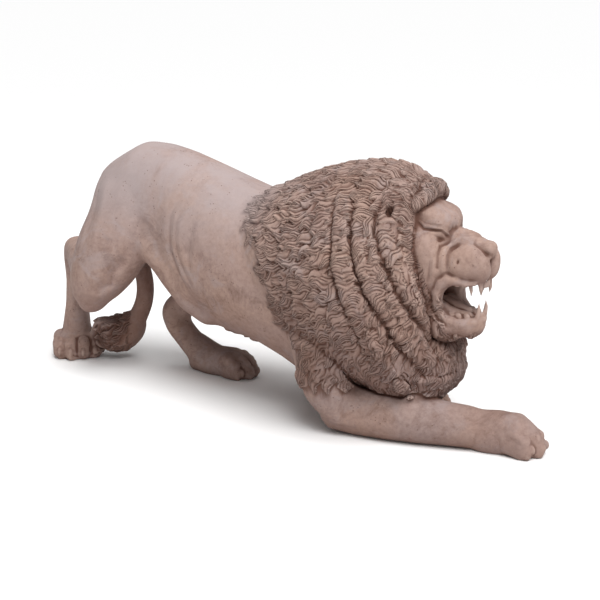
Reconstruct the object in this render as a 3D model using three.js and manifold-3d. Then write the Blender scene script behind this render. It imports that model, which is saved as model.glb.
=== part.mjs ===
// A life-size cast stone lion, stalking low with its mouth open: one solid, in millimetres, +Z up.
// The lion faces +X. Its right side is at -Y. Its soles are cut flat on the ground plane, z = 0.

import * as THREE from 'three';
import { mergeVertices } from 'three/addons/utils/BufferGeometryUtils.js';
import Module from 'manifold-3d';

const wasm = await Module();
wasm.setup();

// ---------------------------------------------------------------- driving dimensions, mm

const SIZE = {
  rumpHeight: 938, // highest point of the back
  maneHeight: 958, // highest point of the mane
  chestWidth: 266, // half the width of the ribs
  maneWidth: 350, // half the width of the mane
  hindPawWidth: 185,
  forePawWidth: 142,
  toes: 4,
  hockRadius: 54,
  tailRadius: 29,
};

// The head has a frame of its own: u forward, v to the lion's left, w up.
const HEAD = { at: [400, 0, 600], yaw: -4 };

const STONE = { color: 0xb0968d, roughness: 0.86, metalness: 0 };

const rad = THREE.MathUtils.degToRad;
const vec = (p) => new THREE.Vector3(...p);

// ---------------------------------------------------------------- solids

// Turns a closed geometry into a solid, with its faces pointing out.
function solid(geometry) {
  const bare = geometry.clone();
  bare.deleteAttribute('normal');
  bare.deleteAttribute('uv');
  const merged = mergeVertices(bare, 1e-3);
  const place = merged.attributes.position;
  const index = Array.from(merged.index.array);
  const [a, b, c] = [0, 1, 2].map(() => new THREE.Vector3());
  let volume = 0;
  for (let i = 0; i < index.length; i += 3) {
    a.fromBufferAttribute(place, index[i]);
    b.fromBufferAttribute(place, index[i + 1]);
    c.fromBufferAttribute(place, index[i + 2]);
    volume += a.dot(b.cross(c));
  }
  if (volume < 0) {
    for (let i = 0; i < index.length; i += 3) [index[i], index[i + 1]] = [index[i + 1], index[i]];
  }
  return new wasm.Manifold(new wasm.Mesh({
    numProp: 3,
    vertProperties: new Float32Array(place.array),
    triVerts: new Uint32Array(index),
  }));
}

const join = (solids) => solids.reduce((all, one) => all.add(one));

// A tube of oval sections with round ends. Each station is [one end of the section's height,
// the other end, half its width]; the width runs across the height and the tube's run.
function loft(stations, { sides = 11, cap = 0.5, endRings = 1 } = {}) {
  const upper = new THREE.CatmullRomCurve3(stations.map((s) => vec(s[0])));
  const lower = new THREE.CatmullRomCurve3(stations.map((s) => vec(s[1])));
  const width = new THREE.CatmullRomCurve3(stations.map((s, i) => vec([s[2], i * 100, 0])));
  const count = stations.length - 1;
  const middle = (t) => upper.getPoint(t).add(lower.getPoint(t)).multiplyScalar(0.5);
  const rings = [];
  for (let i = 0; i <= count; i += 1) {
    const t = i / count;
    const half = upper.getPoint(t).sub(lower.getPoint(t)).multiplyScalar(0.5);
    const run = middle(Math.min(t + 0.01, 1)).sub(middle(Math.max(t - 0.01, 0))).normalize();
    const side = run.clone().cross(half).normalize().multiplyScalar(width.getPoint(t).x);
    rings.push({ centre: middle(t), half, run, side });
  }
  // Round ends: shrinking rings and a pole past each end of the tube.
  const bulge = (ring, way, angle) => {
    const reach = cap * Math.min(ring.half.length(), ring.side.length()) * Math.sin(angle);
    return {
      centre: ring.centre.clone().addScaledVector(ring.run, way * reach),
      half: ring.half.clone().multiplyScalar(Math.cos(angle)),
      side: ring.side.clone().multiplyScalar(Math.cos(angle)),
    };
  };
  const angles = Array.from({ length: endRings }, (_, i) => rad((90 * (i + 1)) / (endRings + 1)));
  const first = rings[0];
  const last = rings[count];
  const all = [...angles.map((g) => bulge(first, -1, g)).reverse(), ...rings,
    ...angles.map((g) => bulge(last, 1, g))];
  const points = [bulge(first, -1, rad(90)).centre];
  for (const ring of all) {
    for (let k = 0; k < sides; k += 1) {
      const angle = (2 * Math.PI * k) / sides;
      points.push(ring.centre.clone()
        .addScaledVector(ring.half, Math.cos(angle))
        .addScaledVector(ring.side, Math.sin(angle)));
    }
  }
  points.push(bulge(last, 1, rad(90)).centre);
  const index = [];
  const end = points.length - 1;
  for (let k = 0; k < sides; k += 1) {
    const next = (k + 1) % sides;
    index.push(0, 1 + next, 1 + k);
    for (let r = 0; r < all.length - 1; r += 1) {
      const a = 1 + r * sides + k;
      const b = 1 + r * sides + next;
      index.push(a, b, b + sides, a, b + sides, a + sides);
    }
    index.push(end, end - sides + k, end - sides + next);
  }
  const geometry = new THREE.BufferGeometry().setFromPoints(points);
  geometry.setIndex(index);
  return solid(geometry);
}

// A round limb: each station is [x, y, z, half its height, half its width].
function limb(stations, up, options) {
  const rise = vec(up).normalize();
  return loft(stations.map(([x, y, z, high, wide]) => {
    const centre = vec([x, y, z]);
    return [
      centre.clone().addScaledVector(rise, high).toArray(),
      centre.clone().addScaledVector(rise, -high).toArray(),
      wide,
    ];
  }), options);
}

// An ellipsoid: its centre, its three half sizes and its turn about Z, Y and X in degrees.
function lump(centre, radii, turn = [0, 0, 0], detail = [10, 7]) {
  const geometry = new THREE.SphereGeometry(1, ...detail);
  geometry.applyMatrix4(new THREE.Matrix4().compose(
    vec(centre),
    new THREE.Quaternion().setFromEuler(new THREE.Euler(rad(turn[2]), rad(turn[1]), rad(turn[0]), 'ZYX')),
    vec(radii),
  ));
  return solid(geometry);
}

// ---------------------------------------------------------------- trunk and tail

// A loft on the middle plane. Each row: a point of the upper outline in x and z, the point of the
// lower outline under it, and half the width.
const profileLoft = (rows, options) => loft(rows.map(([top, low, wide]) => (
  [[top[0], 0, top[1]], [low[0], 0, low[1]], wide]
)), options);

function trunk() {
  const rows = [
    [[-930, 826], [-948, 735], 62],
    [[-882, 860], [-925, 655], 118],
    [[-825, 892], [-868, 590], 156],
    [[-740, SIZE.rumpHeight], [-765, 520], 180],
    [[-640, 936], [-650, 455], 184],
    [[-540, 917], [-550, 370], 198],
    [[-400, 874], [-425, 270], 230],
    [[-260, 828], [-290, 240], 252],
    [[-132, 790], [-160, 226], SIZE.chestWidth],
    [[10, 770], [-30, 176], SIZE.chestWidth],
    [[160, 755], [90, 110], 255],
    [[330, 700], [260, 170], 205],
  ];
  return profileLoft(rows, { sides: 20 });
}

// The seat bones and the muscle over them, one on each side of the tail.
const buttock = (side) => lump([-845, side * 86, 712], [92, 76, 132], [0, 12, 0]);

function tail() {
  const r = SIZE.tailRadius;
  const stem = limb([
    [-880, 0, 820, 48, 52],
    [-925, 8, 740, 38, 42],
    [-925, 22, 640, r + 3, r + 5],
    [-885, 38, 520, r, r],
    [-835, 48, 420, r, r],
    [-816, 50, 340, r, r],
    [-826, 50, 262, r, r],
    [-862, 46, 192, r, r],
    [-915, 32, 138, r + 4, r + 4],
  ], [1, 0, 0.35], { sides: 8 });
  const tuft = limb([
    [-885, 40, 160, r, r],
    [-935, 22, 128, 52, 44],
    [-985, -10, 122, 66, 50],
    [-1030, -45, 118, 52, 40],
    [-1062, -72, 110, 22, 20],
  ], [0, 0, 1], { sides: 10, cap: 0.8 });
  return [stem, tuft];
}

// The fold of skin that hangs between each thigh and the belly.
function flankFold(side) {
  return limb([
    [-650, side * 120, 610, 92, 70],
    [-585, side * 135, 545, 76, 62],
    [-525, side * 135, 478, 76, 60],
    [-455, side * 115, 392, 76, 66],
    [-370, side * 80, 335, 76, 84],
  ], [0.7, 0, 1], { sides: 10, cap: 0.6 });
}

// ---------------------------------------------------------------- legs and paws

// A paw: its heel on the ground, its heading from +X in degrees, and its sizes.
function paw({ heel, heading, length, width, height, knuckle = 0.62 }) {
  const turn = new THREE.Matrix4().makeRotationZ(rad(heading)).setPosition(...heel, 0);
  const at = (forward, across, up) => vec([forward, across, up]).applyMatrix4(turn).toArray();
  const part = (rows, options) => loft(rows.map(([x0, z0, x1, z1, y, wide]) => (
    [at(x0, y, z0), at(x1, y, z1), wide]
  )), options);
  const w = width / 2;
  const palm = part([
    [0, height * 0.72, 0, -8, 0, w * 0.62],
    [length * 0.2, height * 0.92, length * 0.2, -14, 0, w * 0.78],
    [length * 0.45, height * 0.98, length * 0.45, -14, 0, w * 0.86],
    [length * 0.68, height * 0.8, length * 0.68, -12, 0, w * 0.84],
    [length * 0.82, height * 0.5, length * 0.82, -8, 0, w * 0.7],
  ], { sides: 12, cap: 0.6 });
  const toes = [];
  for (let i = 0; i < SIZE.toes; i += 1) {
    const place = (i + 0.5) / SIZE.toes - 0.5; // -0.375 to 0.375 across the paw
    const reach = 1 - 0.55 * place * place * 2;
    const wide = width / SIZE.toes / 2 * 1.16;
    const y = place * width * 0.98;
    toes.push(part([
      [length * 0.4, height * 0.82, length * 0.42, height * 0.1, y * 0.8, wide * 0.75],
      [length * knuckle, height * 0.98, length * knuckle, -6, y * 0.95, wide],
      [length * 0.84 * reach, height * 0.82, length * 0.84 * reach, -12, y, wide * 1.04],
      [length * 0.96 * reach, height * 0.5, length * 0.96 * reach, -10, y, wide * 0.86],
    ], { sides: 7, cap: 0.7 }));
    toes.push(lump(at(length * 0.995 * reach, y, height * 0.24), [13, 9, 17], [heading, 20, 0], [5, 3]));
  }
  return [palm, ...toes];
}

function rightHindLeg() {
  const thigh = limb([
    [-765, -80, 740, 160, 112],
    [-765, -108, 660, 176, 116],
    [-788, -132, 590, 178, 118],
    [-812, -152, 530, 168, 114],
    [-834, -167, 460, 160, 108],
    [-858, -180, 400, 138, 98],
    [-878, -188, 345, 104, 82],
    [-892, -192, 298, 56, 52],
  ], [1, 0, 0.1], { sides: 14, cap: 0.7, endRings: 2 });
  const shank = limb([
    [-868, -190, 340, 60, 56],
    [-940, -150, 395, 84, 68],
    [-1026, -92, 452, 88, 60],
    [-1102, -40, 468, 64, 50],
    [-1152, -8, 462, SIZE.hockRadius, 44],
  ], [0.3, 0, 1], { cap: 0.6 });
  const cannon = limb([
    [-1140, -12, 490, 46, 42],
    [-1150, -8, 430, 50, 44],
    [-1150, -6, 330, 44, 42],
    [-1158, -4, 220, 48, 44],
    [-1166, -2, 130, 60, 54],
    [-1164, -2, 70, 74, 60],
  ], [1, 0, 0], {});
  const foot = paw({
    heel: [-1196, 48], heading: -52, length: 190, width: SIZE.hindPawWidth, height: 122, knuckle: 0.56,
  });
  return [thigh, shank, cannon, ...foot];
}

function leftHindLeg() {
  const thigh = limb([
    [-745, 70, 745, 150, 110],
    [-690, 115, 660, 165, 112],
    [-610, 158, 560, 150, 100],
    [-530, 188, 465, 116, 82],
    [-470, 200, 395, 80, 66],
  ], [1, 0, 0.5], { sides: 14, cap: 0.7 });
  const shank = limb([
    [-478, 198, 385, 80, 64],
    [-560, 168, 340, 80, 62],
    [-660, 128, 280, 62, 54],
    [-730, 100, 226, SIZE.hockRadius, 48],
  ], [-0.4, 0, 1], { cap: 0.7 });
  const cannon = limb([
    [-732, 98, 236, 50, 50],
    [-700, 96, 180, 54, 52],
    [-630, 94, 116, 54, 52],
    [-560, 92, 70, 62, 58],
  ], [0.75, 0, 1], { cap: 0.6 });
  const foot = paw({
    heel: [-602, 96], heading: 4, length: 284, width: 142, height: 118, knuckle: 0.6,
  });
  return [thigh, shank, cannon, ...foot];
}

function rightForeleg() {
  const arm = limb([
    [250, -170, 560, 150, 110],
    [205, -195, 430, 146, 106],
    [185, -205, 320, 128, 92],
    [182, -204, 210, 104, 80],
    [205, -194, 120, 90, 76],
    [252, -182, 88, 84, 74],
  ], [1, 0, -0.15], { sides: 14, cap: 0.6 });
  const forearm = limb([
    [205, -178, 92, 84, 72],
    [300, -158, 84, 86, 74],
    [412, -140, 84, 86, 74],
    [517, -115, 82, 83, 70],
    [616, -85, 78, 77, 66],
    [700, -58, 74, 73, 64],
  ], [0, 0, 1], { sides: 14, cap: 0.6 });
  const foot = paw({
    heel: [662, -56], heading: 10, length: 284, width: SIZE.forePawWidth, height: 150, knuckle: 0.68,
  });
  return [arm, forearm, ...foot];
}

function leftForeleg() {
  const arm = limb([
    [250, 170, 560, 140, 110],
    [180, 205, 430, 136, 100],
    [120, 215, 320, 118, 90],
    [95, 215, 210, 96, 76],
    [90, 212, 110, 82, 70],
  ], [1, 0, -0.15], { cap: 0.6 });
  const forearm = limb([
    [90, 212, 92, 80, 70],
    [190, 204, 82, 80, 70],
    [300, 192, 70, 68, 60],
  ], [0, 0, 1], { cap: 0.6 });
  const foot = paw({
    heel: [270, 190], heading: -4, length: 228, width: 136, height: 112, knuckle: 0.62,
  });
  return [arm, forearm, ...foot];
}

// ---------------------------------------------------------------- head

const headFrame = new THREE.Matrix4().makeRotationZ(rad(HEAD.yaw)).setPosition(...HEAD.at);
const onHead = (u, v, w) => vec([u, v, w]).applyMatrix4(headFrame).toArray();

// Rows in the head's frame: the upper outline [u, w], the lower outline [u, w], half the width.
const headLoft = (rows, options) => loft(rows.map(([top, low, wide]) => (
  [onHead(top[0], 0, top[1]), onHead(low[0], 0, low[1]), wide]
)), options);

const headLump = (centre, radii, turn = [0, 0, 0], detail = [8, 5]) => (
  lump(onHead(...centre), radii, [turn[0] + HEAD.yaw, turn[1], turn[2]], detail)
);

const bothSides = (make) => [make(-1), make(1)];

function skull() {
  return headLoft([
    [[-60, 262], [-60, -120], 138],
    [[20, 272], [0, -150], 142],
    [[86, 250], [70, -150], 130],
    [[136, 226], [120, -120], 114],
    [[158, 196], [150, -60], 100],
    [[168, 148], [175, -30], 86],
    [[222, 136], [225, -18], 74],
    [[272, 122], [275, -14], 64],
    [[306, 104], [306, -12], 44],
  ], { sides: 16, cap: 0.7 });
}

function face() {
  return [
    ...bothSides((s) => headLump([132, s * 62, 172], [46, 46, 34], [s * -20, 0, 0])), // brows
    ...bothSides((s) => headLump([92, s * 96, 92], [72, 42, 62], [s * -16, 18, 0])), // cheekbones
    ...bothSides((s) => headLump([264, s * 42, 50], [66, 46, 56], [s * -12, 10, 0])), // whisker pads
    headLump([316, 0, 88], [28, 34, 26], [0, 22, 0]), // nose
    ...bothSides((s) => headLump([24, s * 138, 226], [30, 26, 40], [s * 30, 0, 0])), // ears
  ];
}

function jaw() {
  return [
    headLoft([
      [[60, -60], [40, -250], 118],
      [[140, -110], [120, -258], 104],
      [[205, -140], [195, -240], 84],
      [[262, -150], [255, -222], 62],
      [[292, -136], [292, -206], 40],
    ], { cap: 0.7 }),
    // The cheeks close the mouth behind its corners.
    headLoft([
      [[40, 40], [20, -220], 118],
      [[110, 20], [100, -210], 108],
      [[180, 0], [186, -170], 86],
    ], { cap: 0.3 }),
  ];
}

function mouth() {
  return [
    headLoft([
      [[150, -52], [160, -100], 40],
      [[205, -22], [215, -128], 66],
      [[262, -22], [268, -140], 74],
      [[330, -26], [330, -128], 86],
      [[380, -26], [380, -128], 92],
    ], { cap: 0.6 }),
    ...bothSides((s) => headLump([232, s * 70, -76], [52, 46, 56], [s * 14, 0, 0])),
  ];
}

function tongueAndTeeth() {
  const tooth = (u, v, w, radius, height) => {
    const cone = new THREE.ConeGeometry(radius, Math.abs(height), 8);
    cone.rotateX(height > 0 ? Math.PI / 2 : -Math.PI / 2);
    cone.rotateZ(rad(HEAD.yaw));
    cone.translate(...onHead(u, v, w + height / 2));
    return solid(cone);
  };
  return [
    headLump([215, 0, -140], [72, 34, 20], [0, 6, 0]),
    ...bothSides((s) => tooth(286, s * 36, 8, 12, -84)),
    ...bothSides((s) => tooth(258, s * 44, 10, 9, -54)),
    ...bothSides((s) => tooth(288, s * 27, -162, 11, 66)),
  ];
}

// ---------------------------------------------------------------- mane

// Rows as in trunk, from the mane's back edge to the collar round the face.
const MANE_ROWS = [
  [[-190, 792], [20, 345], 254],
  [[-70, 850], [100, 258], 308],
  [[60, 906], [196, 196], 336],
  [[185, 942], [296, 150], SIZE.maneWidth],
  [[300, SIZE.maneHeight], [392, 120], 338],
  [[395, 946], [480, 110], 292],
  [[460, 914], [540, 138], 226],
  [[496, 876], [576, 212], 164],
];

// Where a lock lies: s runs from the mane's back edge, 0, to the face, 1; angle 0 is the top.
function onMane(s, angle, out = 0) {
  const spot = s * (MANE_ROWS.length - 1);
  const i = Math.min(Math.floor(spot), MANE_ROWS.length - 2);
  const mix = (a, b) => a + (b - a) * (spot - i);
  const [a, b] = [MANE_ROWS[i], MANE_ROWS[i + 1]];
  const top = vec([mix(a[0][0], b[0][0]), 0, mix(a[0][1], b[0][1])]);
  const low = vec([mix(a[1][0], b[1][0]), 0, mix(a[1][1], b[1][1])]);
  const half = top.clone().sub(low).multiplyScalar(0.5);
  const grow = 1 + out / half.length();
  return top.add(low).multiplyScalar(0.5)
    .addScaledVector(half, grow * Math.cos(angle))
    .add(new THREE.Vector3(0, -(mix(a[2], b[2]) + out) * Math.sin(angle), 0));
}

// A thick rope of hair: stations of [s, angle in degrees, radius] on the mane, on side +1 or -1.
function rope(stations, side) {
  const rows = stations.map(([s, angle, radius]) => {
    const outer = onMane(s, side * rad(angle), radius * 0.55);
    const inner = onMane(s, side * rad(angle), -radius * 1.2);
    return [outer.toArray(), inner.toArray(), radius];
  });
  return loft(rows, { sides: 6, cap: 0.8 });
}

function mane() {
  const ropes = [
    [[0.97, 22, 30], [0.93, 55, 40], [0.94, 82, 44], [0.97, 108, 44], [1, 135, 40], [1, 158, 30]],
    [[0.8, 34, 34], [0.78, 62, 42], [0.8, 86, 44], [0.84, 110, 44], [0.88, 134, 40], [0.93, 158, 32]],
    [[0.62, 40, 32], [0.6, 66, 40], [0.62, 90, 40], [0.67, 114, 40], [0.72, 138, 36], [0.78, 160, 28]],
  ];
  const solids = [profileLoft(MANE_ROWS, { sides: 26, cap: 0.06 })];
  for (const side of [1, -1]) solids.push(...ropes.map((stations) => rope(stations, side)));
  return solids;
}

// ---------------------------------------------------------------- the whole lion

const head = join([skull(), ...face(), ...jaw()]).subtract(join(mouth())).add(join(tongueAndTeeth()));

const body = join([
  trunk(),
  flankFold(1),
  flankFold(-1),
  buttock(1),
  buttock(-1),
  ...tail(),
  ...rightHindLeg(),
  ...leftHindLeg(),
  ...rightForeleg(),
  ...leftForeleg(),
  ...mane(),
  head,
]);

const ground = new THREE.BoxGeometry(4000, 2000, 400).translate(0, 0, -200);
const lion = body.subtract(solid(ground));

// The origin is at the middle of the footprint, on the ground.
function toGeometry(manifold) {
  const mesh = manifold.getMesh();
  const geometry = new THREE.BufferGeometry();
  geometry.setAttribute('position', new THREE.BufferAttribute(mesh.vertProperties, 3));
  geometry.setIndex(new THREE.BufferAttribute(mesh.triVerts, 1));
  geometry.computeBoundingBox();
  const middle = geometry.boundingBox.getCenter(new THREE.Vector3());
  return geometry.translate(-middle.x, -middle.y, 0);
}

const sculpture = new THREE.Mesh(toGeometry(lion), new THREE.MeshStandardMaterial(STONE));
sculpture.name = 'stalking_lion';
const part = new THREE.Group();
part.add(sculpture);
export default part;
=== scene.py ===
"""Stalking lion, a cast stone garden sculpture.

The lion is modelled the way a sculptor works: a block of clay is roughed out from the CAD solid,
lumps are added and hollows are cut, and a head and four paws are modelled on their own. All of it
is made one skin, the hair is carved into that lock by lock, and the stone's stains and its painted shade are laid on.
Lengths in the modelling code are millimetres; the finished mesh is in metres.
"""

import math
from collections import namedtuple

import bpy
import numpy as np
import openvdb
from mathutils import Matrix, Vector
from mathutils.bvhtree import BVHTree


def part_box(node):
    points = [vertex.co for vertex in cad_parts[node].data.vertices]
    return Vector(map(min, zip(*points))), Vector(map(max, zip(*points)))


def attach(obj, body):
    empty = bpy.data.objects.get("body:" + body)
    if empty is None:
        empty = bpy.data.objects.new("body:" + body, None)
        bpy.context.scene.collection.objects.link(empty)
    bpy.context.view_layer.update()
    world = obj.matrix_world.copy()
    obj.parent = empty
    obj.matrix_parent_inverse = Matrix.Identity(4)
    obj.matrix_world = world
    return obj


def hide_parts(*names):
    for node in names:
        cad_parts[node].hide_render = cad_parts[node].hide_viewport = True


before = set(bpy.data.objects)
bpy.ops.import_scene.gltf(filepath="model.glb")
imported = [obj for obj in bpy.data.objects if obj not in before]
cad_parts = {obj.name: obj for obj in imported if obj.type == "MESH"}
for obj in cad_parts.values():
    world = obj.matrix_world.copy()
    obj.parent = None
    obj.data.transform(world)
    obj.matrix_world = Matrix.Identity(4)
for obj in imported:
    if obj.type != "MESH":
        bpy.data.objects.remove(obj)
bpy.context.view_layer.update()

bl_info = {
    "name": "Stalking Lion",
    "version": (1, 0, 0),
    "blender": (4, 5, 0),
    "location": "View3D > Sidebar > Stalking Lion",
    "description": "Models a stalking lion in cast stone",
    "category": "Object",
}

NODE = "stalking_lion"
MM = 0.001
PLAY = 0.0004  # kept free inside the CAD solid's box, in metres
FAR = 60.0  # the distance that empty space counts as, in mm
CENTRE = np.array([142.0, 0.0, 0.0])  # from the animal's own zero, under its elbows, to the frame's
SKIN_STEP = 3.0


# ---------------------------------------------------------------- clay

def mesh_arrays(obj):
    """The mesh's points in mm and its triangles."""
    mesh = obj.data
    mesh.calc_loop_triangles()
    points = np.empty(len(mesh.vertices) * 3, np.float32)
    mesh.vertices.foreach_get("co", points)
    triangles = np.empty(len(mesh.loop_triangles) * 3, np.int32)
    mesh.loop_triangles.foreach_get("vertices", triangles)
    return points.reshape(-1, 3) / MM, triangles.reshape(-1, 3)


def point_normals(obj):
    """The normal at each of the mesh's points."""
    normals = np.empty(len(obj.data.vertices) * 3, np.float32)
    obj.data.vertex_normals.foreach_get("vector", normals)
    return normals.reshape(-1, 3)


def store(obj, name, domain, values):
    """Keeps numbers on the mesh for the stone's material."""
    layer = obj.data.attributes.new(name, "FLOAT", domain)
    layer.data.foreach_set("value", np.asarray(values, np.float32).ravel())


def turn_matrix(x=0.0, y=0.0, z=0.0):
    """A turn by degrees about x, then y, then z."""
    turned = Matrix.Identity(3)
    for axis, angle in (("X", x), ("Y", y), ("Z", z)):
        turned = Matrix.Rotation(math.radians(angle), 3, axis) @ turned
    return np.array(turned)


class Clay:
    """Modelling clay: the distance to its surface on a grid of points, less than zero inside."""

    def __init__(self, low, high, step, place=None, turn=None):
        self.step = step
        self.first = np.floor(np.array(low) / step).astype(int)
        self.count = np.ceil(np.array(high) / step).astype(int) - self.first + 1
        self.field = np.full(self.count, FAR, np.float32)
        self.place = np.zeros(3) if place is None else np.array(place, float)
        self.turn = np.eye(3) if turn is None else turn

    def window(self, low, high):
        """The part of the grid between two corners, as slices and coordinates."""
        a = np.maximum(np.floor(np.array(low) / self.step).astype(int) - self.first, 0)
        b = np.minimum(np.ceil(np.array(high) / self.step).astype(int) - self.first + 1, self.count)
        if np.any(a >= b):
            return None, None
        axes = [((np.arange(a[i], b[i]) + self.first[i]) * self.step).astype(np.float32) for i in range(3)]
        return tuple(slice(a[i], b[i]) for i in range(3)), np.meshgrid(*axes, indexing="ij", sparse=True)

    def put(self, part, distance, blend, cut):
        """Joins a shape to the clay, or cuts it away, with a fillet of the blend's width."""
        old = self.field[part]
        new = -distance if cut else distance
        if blend > 0:
            near = np.maximum(blend - np.abs(old - new), 0) ** 2 / (4 * blend)
        else:
            near = 0
        self.field[part] = np.maximum(old, new) + near if cut else np.minimum(old, new) - near

    def lump(self, centre, radii, turn=(0, 0, 0), blend=12.0, cut=False):
        """An egg of clay."""
        radii = np.array(radii, float)
        reach = radii.max() + blend + self.step
        part, grid = self.window(np.array(centre) - reach, np.array(centre) + reach)
        if part is None:
            return
        m = turn_matrix(*turn)
        d = [grid[i] - centre[i] for i in range(3)]
        q = [m[0, i] * d[0] + m[1, i] * d[1] + m[2, i] * d[2] for i in range(3)]
        k0 = np.sqrt(sum((q[i] / radii[i]) ** 2 for i in range(3)))
        k1 = np.sqrt(sum((q[i] / radii[i] ** 2) ** 2 for i in range(3))) + 1e-9
        self.put(part, np.where(k0 < 1e-3, -radii.min(), k0 * (k0 - 1) / k1), blend, cut)

    def roll(self, stations, blend=8.0, cut=False):
        """A roll of clay through stations of [x, y, z, radius]."""
        rows = np.array(stations, float)
        for a, b in zip(rows[:-1], rows[1:]):
            reach = max(a[3], b[3]) + blend + self.step
            part, grid = self.window(np.minimum(a, b)[:3] - reach, np.maximum(a, b)[:3] + reach)
            if part is None:
                continue
            way = b[:3] - a[:3]
            d = [grid[i] - a[i] for i in range(3)]
            t = np.clip(sum(d[i] * way[i] for i in range(3)) / max(way @ way, 1e-6), 0, 1)
            gap = np.sqrt(sum((d[i] - t * way[i]) ** 2 for i in range(3)))
            self.put(part, gap - (a[3] + (b[3] - a[3]) * t), blend, cut)

    def block(self, centre, half, corner, turn=(0, 0, 0), blend=8.0, cut=False):
        """A box with rounded corners."""
        half = np.array(half, float)
        reach = np.linalg.norm(half) + blend + self.step
        part, grid = self.window(np.array(centre) - reach, np.array(centre) + reach)
        if part is None:
            return
        m = turn_matrix(*turn)
        d = [grid[i] - centre[i] for i in range(3)]
        q = [np.abs(m[0, i] * d[0] + m[1, i] * d[1] + m[2, i] * d[2]) - half[i] + corner for i in range(3)]
        out = np.sqrt(sum(np.maximum(v, 0) ** 2 for v in q))
        inside = np.minimum(np.maximum(np.maximum(q[0], q[1]), q[2]), 0)
        self.put(part, out + inside - corner, blend, cut)

    def sample(self, points):
        """The distance at any points, in the clay's own place."""
        spot = np.clip(points / self.step - self.first, 0, self.count - 1.001)
        cell = spot.astype(int)
        part = spot - cell
        total = 0.0
        for corner in np.ndindex(2, 2, 2):
            share = np.prod(np.where(corner, part, 1 - part), axis=1)
            total = total + share * self.field[tuple((cell + corner).T)]
        return total

    def settle(self, points, rounds=5):
        """Moves points to the nearest place on the clay's surface."""
        points = np.array(points, float)
        for _ in range(rounds):
            slope = np.stack([self.sample(points + e) - self.sample(points - e) for e in np.eye(3) * self.step], -1)
            slope /= np.linalg.norm(slope, axis=1, keepdims=True) + 1e-6
            points -= np.clip(self.sample(points), -12, 12)[:, None] * slope
        return points

    def draw(self, stations, width, depth):
        """Draws a soft groove, or with a negative depth a ridge, on the surface near the stations."""
        rows = np.array([list(row) + [1.0] * (4 - len(row)) for row in stations], float)
        t = np.linspace(0, len(rows) - 1, 4 * len(rows) - 3)
        fine = np.stack([np.interp(t, np.arange(len(rows)), rows[:, k]) for k in range(4)], -1)
        fine[:, :3] = self.settle(fine[:, :3])
        self.press(fine, width, depth)

    def press(self, stations, width, depth, side=0):
        """Draws a soft groove through stations of [x, y, z] or [x, y, z, share of the depth]; a negative
        depth raises a ridge. With a side, 1 left or -1 right, it is drawn on that flank whatever y is."""
        rows = np.array([list(row) + [1.0] * (4 - len(row)) for row in stations], float)
        reach = 2.4 * width
        low, high = rows[:, :3].min(0) - reach, rows[:, :3].max(0) + reach
        if side:
            low[1], high[1] = -400, 400
            rows[:, 1] = 0
        part, grid = self.window(low, high)
        if part is None:
            return
        y = np.zeros_like(grid[1]) if side else grid[1]
        best, share = np.float32(1e9), 0.0
        for a, b in zip(rows[:-1], rows[1:]):
            way = b[:3] - a[:3]
            d = [grid[0] - a[0], y - a[1], grid[2] - a[2]]
            t = np.clip(sum(d[i] * way[i] for i in range(3)) / max(way @ way, 1e-6), 0, 1)
            gap = sum((d[i] - t * way[i]) ** 2 for i in range(3))
            share = np.where(gap < best, a[3] + (b[3] - a[3]) * t, share)
            best = np.minimum(best, gap)
        change = depth * share * np.exp(-best / (width * width))
        if side:
            change = change * step_up(side * grid[1], 40, 90)
        self.field[part] += change.astype(np.float32)

    def profile(self, outline, half, blend=8.0, cut=False):
        """A slab from -half to half across, with an outline of [x, z]."""
        outline = np.array(outline, float)
        low, high = outline.min(0) - blend - 10, outline.max(0) + blend + 10
        part, grid = self.window([low[0], -half - blend - 10, low[1]], [high[0], half + blend + 10, high[1]])
        x, z = grid[0], grid[2]
        best, sign = np.float32(1e9), 1.0
        for a, b in zip(outline, np.roll(outline, -1, axis=0)):
            e = b - a
            wx, wz = x - a[0], z - a[1]
            t = np.clip((wx * e[0] + wz * e[1]) / (e @ e), 0, 1)
            best = np.minimum(best, (wx - e[0] * t) ** 2 + (wz - e[1] * t) ** 2)
            c1, c2, c3 = z >= a[1], z < b[1], e[0] * wz > e[1] * wx
            flip = (c1 & c2 & c3) | (~c1 & ~c2 & ~c3)
            sign = sign * np.where(flip, -1.0, 1.0)
        self.put(part, np.maximum(sign * np.sqrt(best), np.abs(grid[1]) - half), blend, cut)

    def fill(self, points, triangles):
        """Packs the clay into a closed mesh."""
        grid = openvdb.FloatGrid.createLevelSetFromPolygons(
            points.astype(np.float32),
            triangles=triangles.astype(np.uint32),
            transform=openvdb.createLinearTransform(voxelSize=self.step),
            halfWidth=FAR / self.step,
        )
        grid.copyToArray(self.field, ijk=tuple(int(i) for i in self.first))

    def skin(self):
        """The clay's surface, as points in mm in the frame and triangles."""
        grid = openvdb.FloatGrid()
        grid.background = FAR
        grid.copyFromArray(self.field)
        grid.transform = openvdb.createLinearTransform(voxelSize=self.step)
        points, triangles, quads = grid.convertToPolygons(isovalue=0.0, adaptivity=0.0)
        points = points + self.first * self.step
        faces = np.vstack([triangles, quads[:, [0, 1, 2]], quads[:, [0, 2, 3]]])
        return points @ self.turn.T + self.place, outward(points, faces)


def outward(points, faces):
    """The faces, turned round if the shape they close is inside out."""
    a, b, c = (points[faces[:, i]] for i in range(3))
    return faces if np.einsum("ij,ij->", np.cross(a, b), c) > 0 else faces[:, ::-1]


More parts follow.
